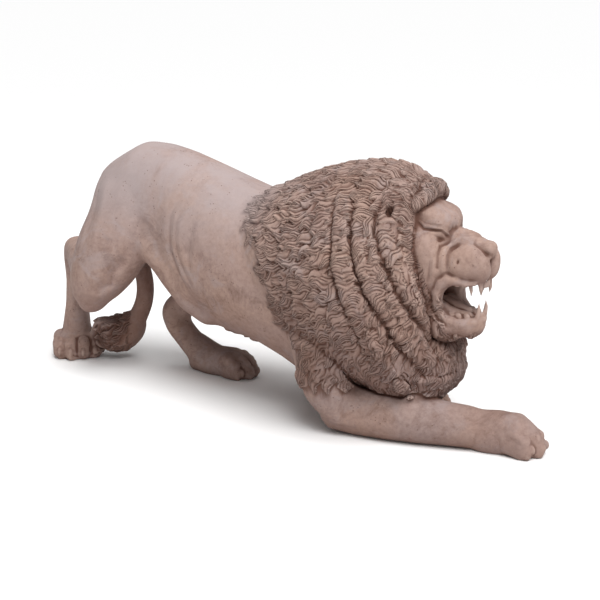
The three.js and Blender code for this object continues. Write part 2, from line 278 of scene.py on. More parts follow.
def softened(field, sigma):
    """The field blurred by sigma grid steps, which rounds the clay's edges."""
    reach = int(3 * sigma + 0.5)
    weights = np.exp(-np.arange(-reach, reach + 1) ** 2 / (2 * sigma * sigma))
    weights = (weights / weights.sum()).astype(np.float32)
    for axis in range(3):
        total = np.zeros_like(field)
        for shift, weight in zip(range(-reach, reach + 1), weights):
            source, target = [slice(None)] * 3, [slice(None)] * 3
            source[axis] = slice(max(shift, 0), field.shape[axis] + min(shift, 0))
            target[axis] = slice(max(-shift, 0), field.shape[axis] + min(-shift, 0))
            total[tuple(target)] += weight * field[tuple(source)]
        field = total
    return field


def step_up(value, low, high):
    """0 below low, 1 above high, smooth between."""
    t = np.clip((value - low) / (high - low), 0, 1)
    return t * t * (3 - 2 * t)


# ---------------------------------------------------------------- the mane's form

# Top point [x, z], bottom point [x, z] and half width of the mane, from its back edge to the face.
MANE_ROWS = np.array([
    [-190, 792, 20, 345, 254],
    [-70, 850, 100, 258, 308],
    [60, 906, 196, 196, 336],
    [185, 942, 296, 150, 350],
    [300, 958, 392, 120, 338],
    [395, 946, 480, 110, 292],
    [460, 914, 540, 138, 226],
    [496, 876, 576, 212, 164],
], float)


def on_mane(s, angle, out=0.0):
    """Points on the mane: s is 0 at the back edge and 1 at the face, angle is 0 on top, and
    positive towards the animal's right. Arrays in, points in mm out."""
    s, angle = np.broadcast_arrays(np.asarray(s, float), np.asarray(angle, float))
    spot = np.clip(s, -0.2, 1.3) * (len(MANE_ROWS) - 1)
    row = np.clip(spot.astype(int), 0, len(MANE_ROWS) - 2)
    part = (spot - row)[..., None]
    tx, tz, bx, bz, half = np.moveaxis(MANE_ROWS[row] * (1 - part) + MANE_ROWS[row + 1] * part, -1, 0)
    top, low = np.stack([tx, 0 * tx, tz], -1), np.stack([bx, 0 * bx, bz], -1)
    arm = (top - low) / 2
    grow = 1 + out / np.linalg.norm(arm, axis=-1)
    a = np.radians(angle)
    across = np.stack([0 * a, -(half + out) * np.sin(a), 0 * a], -1)
    return (top + low) / 2 + arm * (grow * np.cos(a))[..., None] + across + CENTRE


def mane_shell(out):
    """The mane as a closed mesh, with its skin moved out."""
    sides, rows = 64, len(MANE_ROWS)
    s = np.repeat(np.arange(rows) / (rows - 1), sides)
    angle = np.tile(np.arange(sides) * 360 / sides, rows)
    points = on_mane(s, angle, out)
    ends = [points[:sides].mean(0), points[-sides:].mean(0)]
    points = np.vstack([points, ends])
    faces = []
    for r in range(rows - 1):
        for i in range(sides):
            a, b = r * sides + i, r * sides + (i + 1) % sides
            faces += [(a, b, b + sides), (a, b + sides, a + sides)]
    first, last = rows * sides, rows * sides + 1
    for i in range(sides):
        j = (i + 1) % sides
        faces.append((first, j, i))
        faces.append((last, (rows - 1) * sides + i, (rows - 1) * sides + j))
    faces = np.array(faces)
    return points, outward(points, faces)


# Lines down the side of the mane, as [angle, s]: the edge of the face, the hollows between the
# thick ropes of hair, and the mane's back edge.
FACE_EDGE = [
    [0, 0.98], [20, 0.985], [30, 0.94], [38, 0.88], [45, 0.883], [55, 0.895], [64, 0.915], [75, 0.95],
    [87, 1.0], [98, 1.04], [110, 1.08], [126, 1.14], [140, 1.20], [160, 1.26], [180, 1.26],
]
HOLLOW_1 = [
    [0, 0.78], [25, 0.71], [45, 0.688], [55, 0.688], [66, 0.713], [74, 0.765], [87, 0.815], [97, 0.888],
    [112, 0.975], [136, 1.04], [180, 1.06],
]
HOLLOW_2 = [
    [0, 0.60], [30, 0.575], [47, 0.57], [60, 0.583], [69, 0.592], [82, 0.63], [94, 0.70], [110, 0.78],
    [127, 0.85], [150, 0.92], [180, 0.94],
]
HOLLOW_3 = [
    [0, 0.47], [41, 0.48], [61, 0.50], [74, 0.505], [90, 0.54], [110, 0.60], [127, 0.66], [150, 0.74], [180, 0.78],
]
BACK_EDGE = [
    [0, 0.115], [12, 0.11], [29, 0.08], [43, 0.045], [64, 0.10], [80, 0.105], [88, 0.135], [98, 0.17],
    [117, 0.17], [136, 0.15], [150, 0.20], [165, 0.30], [180, 0.34],
]


def line(table, angle):
    """Where a line of the mane lies at an angle."""
    table = np.array(table)
    return np.interp(np.abs(angle), table[:, 0], table[:, 1])


def along(table, low, high, side, out, count=14):
    """A line of the mane as points."""
    angle = np.linspace(low, high, count)
    return on_mane(line(table, angle), side * angle, out), np.linspace(0, 1, count)


# ---------------------------------------------------------------- body

HEAD_AT = np.array([542.0, 0.0, 600.0])
HEAD_TURN = turn_matrix(z=-4)


def head_place(points):
    """Points [forward, left, up] from the middle of the skull, in the frame."""
    return np.asarray(points, float) @ HEAD_TURN.T + HEAD_AT


EARS = head_place([[30, side * 172, 206] for side in (1, -1)])


def rough_body():
    """The CAD solid as clay, without its head, its edges rounded and its mane drawn in."""
    low, high = (np.array(corner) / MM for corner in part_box(NODE))
    clay = Clay(low - 40, high + 40, 5.0)
    clay.fill(*mesh_arrays(bpy.data.objects[NODE]))
    mane = Clay(low - 40, high + 40, clay.step)
    mane.fill(*mane_shell(14.0))
    step = 5.0 / clay.step
    smooth, crisp = softened(clay.field, 3.4 * step), softened(clay.field, 1.3 * step)
    z = ((np.arange(clay.count[2]) + clay.first[2]) * clay.step)[None, None, :]
    share = step_up(z, 20, 90).astype(np.float32)
    clay.field = smooth * share + crisp * (1 - share) - 2.5
    x = ((np.arange(clay.count[0]) + clay.first[0]) * clay.step - CENTRE[0])[:, None, None]
    before = x + 190 - (792 - z) * 0.47
    clay.field += 12.0 * (1 - step_up(mane.field, -14, 6)) * step_up(before, 20, 150)
    # what stands proud of the mane above the legs, its ropes and head, is modelled anew
    above = np.maximum(step_up(z, 400, 450) * step_up(x, 0, 60), step_up(x, 450, 500) * step_up(z, 225, 255))
    clay.field = np.where(above > 0, np.maximum(clay.field, (mane.field + 24) * above - 40 * (1 - above)), clay.field)
    clay.field = clay.field.astype(np.float32)
    return clay


# The face's opening in the mane from the side, as (forward, up) from the middle of the skull.
FACE_OPENING = [
    (84, 420), (94, 316), (117, 292), (117, 264), (94, 244), (80, 201), (90, 85), (102, 0),
    (122, -49), (140, -120), (160, -169), (186, -240), (200, -262), (420, -262), (420, 420),
]


def open_face(clay):
    """Cuts the front of the CAD head away along the edge of the mane."""
    outline = np.array(FACE_OPENING, float)
    at = head_place(np.stack([outline[:, 0], 0 * outline[:, 0], outline[:, 1]], -1))
    clay.profile(at[:, [0, 2]], 205, blend=6, cut=True)


def add_ropes(clay):
    """Raises the ropes of hair and sinks the hollows between them."""
    for side in (1, -1):
        for edge, hollow, low, high, rise in (
            (FACE_EDGE, HOLLOW_1, 40, 156, 24), (HOLLOW_1, HOLLOW_2, 40, 150, 20), (HOLLOW_2, HOLLOW_3, 38, 105, 13),
        ):
            front, t = along(edge, low, high, side, -10)
            back, _ = along(hollow, low, high, side, -10)
            clay.press(np.c_[(front + back) / 2, np.sin(np.pi * t) ** 0.5], 42, -rise)
        for hollow, low, high, width, depth in (
            (HOLLOW_1, 40, 158, 12, 44), (HOLLOW_2, 42, 150, 11, 36), (HOLLOW_3, 42, 112, 11, 18),
        ):
            points, t = along(hollow, low, high, side, -14)
            clay.press(np.c_[points, np.sin(np.pi * np.clip(0.06 + 0.9 * t, 0, 1)) ** 0.4], width, depth)
        clay.lump(head_place([104, side * 40, -336]), [100, 92, 116], (0, 8, 0), blend=34)
    # the fringe over the forehead
    angle = np.linspace(-32, 32, 13)
    clay.roll(np.c_[on_mane(line(FACE_EDGE, angle) - 0.02, angle, -20.0), 26 - 0.4 * np.abs(angle)], blend=20)
    # the ears, hollows deep in the hair
    for ear in EARS:
        clay.lump(ear, [14, 20, 38], (0, 18, 0), blend=12, cut=True)


# Folds of the waist, thigh and shoulder on each flank, as [x, z, share].
WAIST_FOLDS = [
    [[-445, 775, 0.3], [-477, 705, 0.9], [-480, 645, 1], [-473, 576, 1], [-440, 500, 1], [-400, 430, 0.5]],
    [[-415, 765, 0.3], [-446, 690, 0.9], [-450, 632, 1], [-428, 554, 1], [-388, 478, 0.8], [-360, 420, 0.2]],
    [[-330, 757, 0.3], [-361, 700, 0.7], [-368, 644, 0.9], [-371, 543, 0.7], [-372, 447, 0.3]],
    [[-275, 790, 0.2], [-300, 745, 0.6], [-330, 690, 0.5], [-335, 620, 0.2]],
]


# The tail as [x, y, z, radius], and its tuft.
TAIL = [
    (-925, 22, 640, 33), (-885, 38, 520, 32), (-835, 48, 420, 33), (-816, 50, 340, 33), (-826, 50, 262, 34),
    (-862, 50, 192, 36), (-895, 48, 150, 42),
]
TAIL_TUFT = [(-885, 50, 158, 46), (-908, 46, 128, 62), (-940, 34, 112, 70), (-975, 16, 104, 62), (-1006, 0, 100, 40)]


def eased(stations):
    """A roll's stations with the corners between them cut off twice."""
    rows = np.array(stations, float)
    for _ in range(2):
        near, far = 0.75 * rows[:-1] + 0.25 * rows[1:], 0.25 * rows[:-1] + 0.75 * rows[1:]
        rows = np.vstack([rows[:1], np.stack([near, far], 1).reshape(-1, rows.shape[1]), rows[-1:]])
    return rows


def model_body(clay):
    """Bones, muscles and folds of skin."""
    for stations in (eased(TAIL), eased(TAIL_TUFT)):
        clay.roll([[x + CENTRE[0], y, z, r] for x, y, z, r in stations], blend=8)
    clay.lump(CENTRE + (-1022, -100, 100), [96, 74, 120], blend=10, cut=True)

    def at(rows):
        return [[row[0] + CENTRE[0], 0, row[1], *row[2:]] for row in rows]

    for side in (1, -1):
        for fold, depth in zip(WAIST_FOLDS, (6.5, 5.5, 4.0, 3.0)):
            clay.press(at(fold), 15, 1.2 * depth, side)
            clay.press(at([[x + 26, z, w] for x, z, w in fold]), 14, -0.8 * depth, side)
    right = (
        # band down the back of the thigh, the hollow before it and the hamstring's edge
        ([[-870, 800, 0.3], [-850, 700, 1], [-855, 620, 1], [-862, 560, 0.4]], 16, 6),
        ([[-815, 790, 0.4], [-790, 696, 1], [-800, 629, 1], [-815, 560, 0.6]], 20, -5),
        # groove over the kneecap and the bulge behind it
        ([[-690, 545, 0.3], [-705, 500, 0.9], [-742, 460, 1], [-762, 413, 1], [-806, 382, 0.6]], 17, 10),
        ([[-640, 500, 0.2], [-680, 440, 0.8], [-730, 390, 0.8], [-790, 345, 0.4]], 24, -6),
        # hollow before the thigh
        ([[-560, 760, 0.3], [-548, 660, 0.8], [-545, 560, 0.7], [-560, 480, 0.3]], 38, 9),
        ([[-640, 800, 0.3], [-660, 700, 0.8], [-670, 600, 0.8], [-700, 540, 0.3]], 46, -6),
    )
    for rows, width, depth in right:
        clay.press(at(rows), width, depth, -1)
    clay.field = np.maximum(clay.field, -((np.arange(clay.count[2]) + clay.first[2]) * clay.step)[None, None, :])


# ---------------------------------------------------------------- head

# The open mouth from the side, as (forward, up).
MOUTH_OUTLINE = [
    (200, -42), (187, -60), (181, -88), (188, -116), (206, -134), (240, -144), (279, -140), (345, -124),
    (352, -34), (318, -30), (300, -30), (278, -31), (256, -30), (236, -29), (216, -32),
]


def head_clay():
    """The head from the skull to the muzzle, in its own place: x forward, y left, z up."""
    c = Clay([-40, -190, -300], [380, 190, 320], 2.5, HEAD_AT, HEAD_TURN)
    c.lump([30, 0, 145], [112, 110, 122], blend=0)
    c.lump([64, 0, -60], [92, 104, 160], blend=30)
    c.lump([104, 0, 184], [64, 80, 44], blend=30)
    c.lump([152, 0, 172], [50, 50, 40], blend=28)
    for s in (1, -1):
        c.lump([134, 48 * s, 180], [46, 42, 33], (0, 14, 12 * s), blend=30)
        c.lump([150, 44 * s, 150], [36, 30, 38], blend=20)
        c.lump([110, 66 * s, 130], [44, 34, 40], blend=20)
        c.lump([86, 84 * s, 104], [62, 46, 48], blend=28)
        c.lump([170, 56 * s, 26], [70, 46, 78], (0, 0, -14 * s), blend=24)
        c.lump([150, 70 * s, -60], [38, 34, 110], (0, 6, -14 * s), blend=24)
        c.lump([100, 80 * s, 8], [60, 46, 100], (0, -12, 0), blend=32)
        c.lump([104, 86 * s, 66], [64, 40, 66], blend=34)
    c.roll([[120, 0, 96, 50], [215, 0, 99, 46], [254, 0, 92, 42], [288, 0, 80, 36]], blend=26)
    c.lump([200, 0, 36], [96, 70, 56], blend=26)
    for s in (1, -1):
        c.lump([270, 44 * s, 48], [64, 43, 60], (0, 0, -8 * s), blend=16)
        c.lump([232, 54 * s, 34], [56, 42, 54], blend=20)
        c.lump([292, 28 * s, 22], [42, 31, 42], blend=16)
    c.block([299, 0, 91], [37, 34, 30], 24, (0, 3, 0), blend=7)
    # lower jaw
    for s in (1, -1):
        c.roll([[100, 64 * s, -130, 50], [180, 52 * s, -164, 46], [256, 24 * s, -176, 34]], blend=26)
    c.lump([272, 0, -172], [36, 38, 34], blend=18)
    c.lump([150, 0, -190], [80, 64, 50], blend=26)
    # lips round the mouth's corner
    for s in (1, -1):
        c.roll([
            [288, 52 * s, -18, 9], [262, 64 * s, -14, 14], [236, 73 * s, -8, 18], [210, 80 * s, -8, 19],
            [187, 86 * s, -26, 18], [173, 88 * s, -60, 17], [173, 86 * s, -100, 16], [190, 80 * s, -132, 15],
            [216, 70 * s, -152, 14], [250, 52 * s, -160, 13], [284, 32 * s, -154, 11], [300, 0, -148, 10],
        ], blend=14)
    c.profile(MOUTH_OUTLINE, 175, blend=9, cut=True)
    c.lump([182, 0, -74], [80, 58, 50], blend=10, cut=True)
    for s in (1, -1):
        c.roll([[150, 40 * s, -118, 26], [206, 38 * s, -136, 18], [262, 20 * s, -140, 12]], blend=9)
    c.roll([[140, 0, -114, 26], [206, 0, -126, 22], [250, 0, -128, 12]], blend=8)
    face_details(c)
    teeth(c)
    return c


def face_details(c):
    """Eyelids, brows, folds, nostrils and lips."""
    for s in (1, -1):
        def draw(rows, width, depth):
            c.draw([[row[0], row[1] * s, *row[2:]] for row in rows], width, depth)

        # the squeezed eye: the socket, the crease between its lids and the wrinkles round it
        crease = [[174, 44, 131, 0.8], [168, 66, 149, 1], [138, 90, 151, 1], [120, 102, 156, 0.9], [96, 94, 170, 0.4]]

        def beside(lift):
            return [[x, y, z + lift * (0.6 + 0.4 * share), share] for x, y, z, share in crease]

        draw(crease, 15, 3.5)
        for lift, width, depth in ((0, 5, 8), (10, 5, -5), (19, 5, 8), (31, 5, 7), (43, 5, 5), (-10, 5, -4)):
            draw(beside(lift), width, depth)
        for reach, drop in ((34, 4), (46, 17), (40, 31)):
            draw([
                [166, 50, 122 - drop / 2, 0.1], [168 - reach * 0.6, 52 + reach * 0.6, 128 - drop, 1],
                [166 - reach, 54 + reach, 134 - drop, 0.2],
            ], 4.5, 4.5)
        # frown: pits and short folds between the brows
        draw([[144, 36, 206, 0.3], [156, 34, 194, 1], [163, 30, 178, 0.4]], 5, 6)
        draw([[152, 50, 204, 0.3], [164, 48, 190, 0.8], [170, 42, 176, 0.3]], 5, 5)
        draw([[178, 24, 170, 0.4], [176, 32, 155, 1], [178, 40, 140, 0.8]], 6, 6)
        draw([[184, 12, 184, 0.3], [190, 14, 166, 0.9], [188, 16, 150, 0.5]], 6, 5)
        # folds over the bridge
        for x in (200, 214, 228):
            draw([[x, 0, 150, 0.6], [x - 2, 24, 140, 1], [x - 8, 44, 118, 0.8], [x - 12, 60, 92, 0.4]], 4.5, 3.4)
        # groove beside the nose, nostril
        draw([[272, 0, 128, 0.5], [272, 18, 124, 0.9], [276, 34, 112, 1], [296, 40, 96, 1], [314, 40, 72, 1]], 6, 7)
        c.roll([[339, 12 * s, 71, 3], [334, 23 * s, 75, 7], [322, 33 * s, 83, 6], [310, 38 * s, 92, 3]], blend=6, cut=True)
        # folds behind the whisker pad
        draw([[238, 50, 124, 0.3], [210, 72, 102, 1], [204, 82, 74, 1], [208, 86, 32, 0.9], [224, 84, 8, 0.3]], 9, 8)
        draw([[226, 52, 132, 0.3], [196, 76, 106, 1], [190, 88, 72, 1], [193, 92, 28, 0.7]], 7, -5)
        draw([[203, 64, 124, 0.4], [178, 84, 104, 1], [171, 94, 70, 1], [172, 98, 32, 0.7]], 6, 6)
        draw([[188, 66, 122, 0.3], [166, 88, 100, 1], [157, 100, 62, 1], [158, 104, 12, 0.6]], 8, -4)
        draw([[166, 84, 96, 0.4], [152, 102, 52, 1], [148, 106, 4, 1], [146, 104, -50, 0.8], [156, 98, -112, 0.4]], 8, 4)
        draw([[136, 98, 98, 0.3], [130, 112, 60, 0.8], [128, 116, 10, 0.6]], 7, 2.5)
        draw([[106, 118, 60, 0.4], [112, 122, 0, 1], [124, 118, -60, 1], [142, 108, -120, 1], [170, 92, -170, 0.6]], 9, 3.5)
        # rim above the lip and round the corner of the mouth
        draw([
            [300, 56, -2, 0.4], [270, 76, -4, 0.9], [236, 86, 10, 1], [206, 92, 12, 0.9], [178, 98, -8, 0.8],
            [156, 100, -50, 0.8], [156, 98, -108, 0.9], [180, 90, -150, 0.8], [214, 76, -172, 0.4],
        ], 8, 6)
        c.lump([246, 92 * s, 60], [6, 6, 11], blend=4, cut=True)
        for x, y, z in ((290, 76, 87), (238, 80, 106), (278, 60, 117), (262, 92, 80), (296, 78, 50)):
            c.lump([x, y * s, z], [3.2, 6, 3.2], blend=2, cut=True)
    c.draw([[334, 0, 54, 1], [330, 0, 26, 1], [318, 0, -14, 1]], 5, 10)
    c.draw([[120, 0, 232, 0.2], [160, 0, 214, 1], [196, 0, 180, 0.5]], 16, 2.5)


def teeth(c):
    """Fangs, molars and the small front teeth."""
    for s in (1, -1):
        for x, y, z, r, drop in ((303, 33, -20, 9, -44), (273, 45, -26, 7.5, -40), (294, 26, -140, 9, 54)):
            c.roll([[x, y * s, z, r], [x + 4, y * s, z + 0.5 * drop, 0.7 * r], [x + 3, (y - 2) * s, z + drop, 1.6]], blend=3)
        for x, y in ((262, 42), (236, 52), (212, 58)):
            c.lump([x, y * s, -138], [12, 7, 12], blend=5)
            c.lump([x - 8, (y + 4) * s, -28], [11, 6, 11], blend=5)
    for k in range(-2, 3):
        c.roll([[314 - abs(k) * 2, k * 9, -18, 5], [314 - abs(k) * 2, k * 9, -36, 3.6]], blend=3)
        c.roll([[298 - abs(k) * 2, k * 8, -146, 5], [298 - abs(k) * 2, k * 8, -128, 3.4]], blend=3)


# ---------------------------------------------------------------- paws

def paw_clay(length, width, height, ankle):
    """One paw, pointing forward from its heel: a palm, four toes and their claws, and the ankle's end
    [x, z, radius]."""
    c = Clay([-110, -width * 0.75, -12], [length + 30, width * 0.75, height + 90], 3.0)
    r = width * 0.142
    c.lump([length * 0.36, 0, height * 0.34], [length * 0.42, width * 0.44, height * 0.50], blend=0)
    c.roll([[length * 0.36, 0, height * 0.50, height * 0.44], [ankle[0], 0, ankle[1], ankle[2]]], blend=22)
    for y, reach in ((-0.355, 0.88), (-0.125, 0.985), (0.125, 1.0), (0.355, 0.90)):
        y, front = y * width, reach * length
        c.roll([
            [length * 0.40, y * 0.70, height * 0.52, r * 1.05],
            [front - 2.9 * r, y * 0.98, height * 0.60, r * 1.06],
            [front - 1.55 * r, y, height * 0.46, r * 1.04],
            [front - 1.05 * r, y, r * 0.98, r * 1.02],
        ], blend=7)
        # the claw, an oval nail in a sunk ring
        nail = [front - 0.16 * r, y, height * 0.27]
        c.press([[nail[0], y, nail[2] + 12], [nail[0] + 4, y, nail[2] - 12]], 13, 5)
        c.lump(nail, [12, 9, 17], (0, -14, 0), blend=1)
    for y in (-0.24, 0, 0.24):
        y *= width
        c.draw([
            [length - 4.4 * r, y * 0.9, height * 0.92, 0.3], [length - 3 * r, y, height * 0.78, 1],
            [length - 1.7 * r, y, height * 0.58, 1], [length - 0.7 * r, y, height * 0.26, 0.8],
        ], 5, 8)
    return c


# Heel [x, y], heading, length, width, height and ankle of each paw.
PAWS = {
    "right hind": ([-1192, 46], -52, 188, 206, 130, (40, 168, 49)),
    "left hind": ([-602, 96], 4, 284, 142, 118, (10, 104, 48)),
    "right fore": ([662, -56], 10, 284, 142, 138, (-40, 76, 68)),
    "left fore": ([270, 190], -4, 228, 136, 112, (-40, 72, 60)),
}


def paw_skin(heel, heading, length, width, height, ankle):
    clay = paw_clay(length, width, height, ankle)
    clay.field = np.maximum(clay.field, -((np.arange(clay.count[2]) + clay.first[2]) * clay.step)[None, None, :])
    clay.turn = turn_matrix(z=heading)
    clay.place = np.array([heel[0], heel[1], 0]) + CENTRE
    return clay.skin()


# ---------------------------------------------------------------- hair

class Skin:
    """A surface that hair is laid on."""

    def __init__(self, points, faces):
        self.tree = BVHTree.FromPolygons(points.tolist(), faces.tolist())

    def under(self, points, away, reach):
        """Where the surface is under the points, looking inward from a reach out along away."""
        shape = points.shape
        points, away = points.reshape(-1, 3), away.reshape(-1, 3)
        reach = np.broadcast_to(reach, shape[:-1]).reshape(-1)
        places, normals = np.empty_like(points), np.empty_like(points)
        for i, (point, way, far) in enumerate(zip(points, away, reach)):
            place, normal, _, _ = self.tree.ray_cast(Vector(point + way * far), Vector(-way), 2.2 * far)
            if place is None:
                place, normal, _, _ = self.tree.find_nearest(Vector(point))
            places[i], normals[i] = place, normal
        return places.reshape(shape), normals.reshape(shape)


Lock = namedtuple("Lock", "root way normal length width strands phase wave curl rise fade ground")

GROOVE_DEPTH = 4.6  # between the strands of a lock
LOOSE_TUFTS = 90  # thin tufts on the back and flank behind the mane
BACK_ROWS = 7  # rows of locks behind the last hollow
LOCK_PITCH = 25  # from one lock to the next along a row


def flow(s, angle):
    """Which way hair lies on the mane: 0 is straight back, 90 straight down, in degrees."""
    a = np.abs(angle)
    down = 2 + 12 * step_up(a, 15, 70) + 46 * step_up(a, 86, 132)
    return down + 16 * step_up(a, 70, 130) * (1 - step_up(s, 0.15, 0.5))


def mane_lines():
    """The lines that rows of locks start from, from the back edge to the face, each as s at an angle."""
    for k in reversed(range(BACK_ROWS)):
        yield lambda a, k=k: line(HOLLOW_3, a) + (line(BACK_EDGE, a) + 0.055 - line(HOLLOW_3, a)) * k / BACK_ROWS
    yield lambda a: line(HOLLOW_2, a) - 0.008
    yield lambda a: line(HOLLOW_1, a) - 0.012
    yield lambda a: 0.5 * line(FACE_EDGE, a) + 0.5 * line(HOLLOW_1, a)
    yield lambda a: line(FACE_EDGE, a)


def lay(skin, rng, spot, way, away, length, width, reach=70.0, **values):
    """One lock, its root on the skin under a spot."""
    away = np.asarray(away, float) / np.linalg.norm(away)
    way = np.asarray(way, float) / np.linalg.norm(way)
    place, normal = skin.under(np.asarray(spot, float)[None], away[None], reach)
    lock = dict(
        strands=int(rng.choice([2, 3, 3, 4])), phase=rng.uniform(0, 6.3), wave=rng.uniform(4, 8.5), curl=rng.normal(0, 8),
        rise=rng.uniform(0, 7), fade=1.0,
    )
    lock.update(values)
    facing = normal[0] + 2.5 * away
    return Lock(place[0], way, facing / np.linalg.norm(facing), length, width, **lock, ground=normal[0])


def mane_locks(skin, rng):
    """Locks in rows over the mane, each lapping over the roots of those behind it."""
    locks = []
    # loose tufts on the back and flank behind the mane
    for _ in range(LOOSE_TUFTS):
        side, angle = rng.choice([1, -1]), rng.uniform(14, 124)
        s = float(line(BACK_EDGE, angle)) + rng.uniform(-0.03, 0.04)
        here, ahead, below = on_mane([s, s - 0.02, s], [side * angle, side * angle, side * (angle + 2)])
        way = (ahead - here) * 3 + (below - here) * rng.normal(0.8, 0.6)
        locks.append(lay(
            skin, rng, here, way, on_mane(s, side * angle, 40.0) - here, rng.uniform(40, 62), rng.uniform(10, 16),
            strands=3, rise=0, fade=0.25, wave=rng.uniform(3, 6)))
    for row, start in enumerate(mane_lines()):
        front = row > BACK_ROWS + 1
        for side in (1, -1):
            grid = np.linspace(0, 178, 400)
            path = on_mane(start(grid), side * grid, 0)
            run = np.r_[0, np.cumsum(np.linalg.norm(np.diff(path, axis=0), axis=1))]
            spots = np.arange(rng.uniform(2, LOCK_PITCH), run[-1], LOCK_PITCH)
            spots = spots + rng.uniform(-0.25, 0.25, len(spots)) * LOCK_PITCH
            for angle in np.interp(spots, run, grid):
                s = float(start(angle)) + rng.normal(0, 0.012)
                heading = math.radians(flow(s, angle) + 8 * math.sin(s * 21 + angle * 0.08) + rng.normal(0, 8))
                here, ahead, below = on_mane([s, s - 0.02, s], [side * angle, side * angle, side * (angle + 2)])
                back, down = ahead - here, below - here
                way = back / np.linalg.norm(back) * math.cos(heading) + down / np.linalg.norm(down) * math.sin(heading)
                away = on_mane(s, side * angle, 40.0) - here
                hang = float(step_up(angle, 95, 135))
                locks.append(lay(
                    skin, rng, here, way, away, rng.uniform(76, 100) * (1 + 0.25 * hang) * (0.85 if front else 1.0),
                    rng.uniform(18, 27), 75, phase=rng.normal(s * 9, 0.9), wave=rng.uniform(4, 8.5) * side,
                    curl=rng.normal(8, 8) * side, fade=float(step_up(s - line(BACK_EDGE, angle), -0.02, 0.12)),
                ))
    return locks


def face_locks(skin, rng):
    """The fringe over the forehead, the locks down the edge of the face, the chin's tuft and the beard."""
    locks = []
    for side in (1, -1):
        for angle in np.arange(3, 106, 3.6):
            s = float(line(FACE_EDGE, angle)) + 0.035 + rng.uniform(-0.01, 0.01)
            here, behind, below = on_mane([s, s - 0.03, s], [side * angle, side * angle, side * (angle + 2)])
            back, down = behind - here, below - here
            heading = math.radians(flow(s, angle) - 4 + rng.normal(0, 9))
            way = back / np.linalg.norm(back) * math.cos(heading) + down / np.linalg.norm(down) * math.sin(heading)
            away = on_mane(s, side * angle, 40.0) - here + np.array([16.0, 0, 0])
            locks.append(lay(
                skin, rng, here, way, away, rng.uniform(52, 76), rng.uniform(13, 18), 60, strands=3, rise=rng.uniform(0, 6)))
        for angle in np.arange(1.5, 36, 4.0):
            lean = side * math.sin(math.radians(angle))
            spot = on_mane(float(line(FACE_EDGE, angle)) - 0.02, side * angle, -20.0)
            spot = spot + HEAD_TURN @ np.array([22.0, 0, -12.0])
            away = HEAD_TURN @ np.array([0.9, -0.35 * lean, 0.4])
            locks.append(lay(
                skin, rng, spot, [-0.35, -0.3 * lean + rng.normal(0, 0.12), 1], away, rng.uniform(46, 62),
                rng.uniform(11, 15), 50, strands=3, wave=rng.uniform(3, 5), rise=rng.uniform(0, 5)))
        for z in (-300, -336, -372, -408):
            for turn in np.arange(4, 100, 15):
                turn = math.radians(turn + rng.uniform(-4, 4))
                out = HEAD_TURN @ np.array([math.cos(turn), side * math.sin(turn), -0.15])
                spot = head_place([96 + 90 * math.cos(turn), side * (20 + 96 * math.sin(turn)), z + rng.uniform(-10, 10)])
                locks.append(lay(skin, rng, spot, [-0.35, 0, -1], out, rng.uniform(66, 92), rng.uniform(17, 24), 70))
        for y, z in ((4, -204), (18, -202), (30, -196), (10, -214), (24, -210)):
            out = HEAD_TURN @ np.array([0.8, side * 0.3, -0.5])
            spot = head_place([296, side * y, z])
            locks.append(lay(skin, rng, spot, [-0.3, 0, -1], out, 34, 11, 40, strands=3, wave=2.5, rise=2))
    return locks


def body_locks(skin, rng):
    """Tufts at the elbows, along the belly and at the end of the tail."""
    locks = []
    for side in (1, -1):
        for _ in range(12):
            z = rng.uniform(60, 150)
            spot = CENTRE + [rng.uniform(70, 100) + (z - 60) * 0.1, -side * 300, z]
            locks.append(lay(
                skin, rng, spot, [-1, 0, -0.9], [-0.45, -side, 0], rng.uniform(30, 44), rng.uniform(7, 11), 160,
                strands=2, wave=3, rise=0, fade=0.15))
    for x in np.arange(-330, 60, 17):
        for y in (-46, 0, 46):
            spot = CENTRE + [x + rng.uniform(-6, 6), y + rng.uniform(-14, 14), 250]
            locks.append(lay(
                skin, rng, spot, [-1, rng.normal(0, 0.3), 0.1], [0, 0, -1], rng.uniform(44, 64), rng.uniform(10, 15), 160,
                strands=3, wave=3, fade=0.6))
    for along, spot in enumerate(TAIL_TUFT[:-1]):
        onward = np.array(TAIL_TUFT[along + 1][:3]) - np.array(spot[:3])
        side_way = np.cross(onward, [0, 0, 1.0])
        side_way /= np.linalg.norm(side_way)
        for k in range(9):
            turn = math.radians(k * 40 + along * 17)
            out = side_way * math.cos(turn) + np.array([0, 0, 1.0]) * math.sin(turn)
            locks.append(lay(
                skin, rng, CENTRE + spot[:3], onward + out * 8, out, rng.uniform(60, 84), rng.uniform(16, 22), 110))
    return locks


def with_normals(points, faces):
    """A mesh's points and the normal at each."""
    a, b, c = (points[faces[:, i]] for i in range(3))
    flat = np.cross(b - a, c - a)
    normals = np.stack([
        sum(np.bincount(faces[:, i], flat[:, k], len(points)) for i in range(3)) for k in range(3)
    ], -1)
    return points, normals / (np.linalg.norm(normals, axis=1, keepdims=True) + 1e-9)


class Crowd:
    """Points with their normals, sorted so that those near a place are found fast."""

    def __init__(self, points, normals):
        self.order = np.argsort(points[:, 0])
        self.points, self.normals = points[self.order], normals[self.order]

    def near(self, place, reach):
        first, last = np.searchsorted(self.points[:, 0], [place[0] - reach, place[0] + reach])
        return first + np.flatnonzero(((self.points[first:last] - place) ** 2).sum(1) < reach * reach)


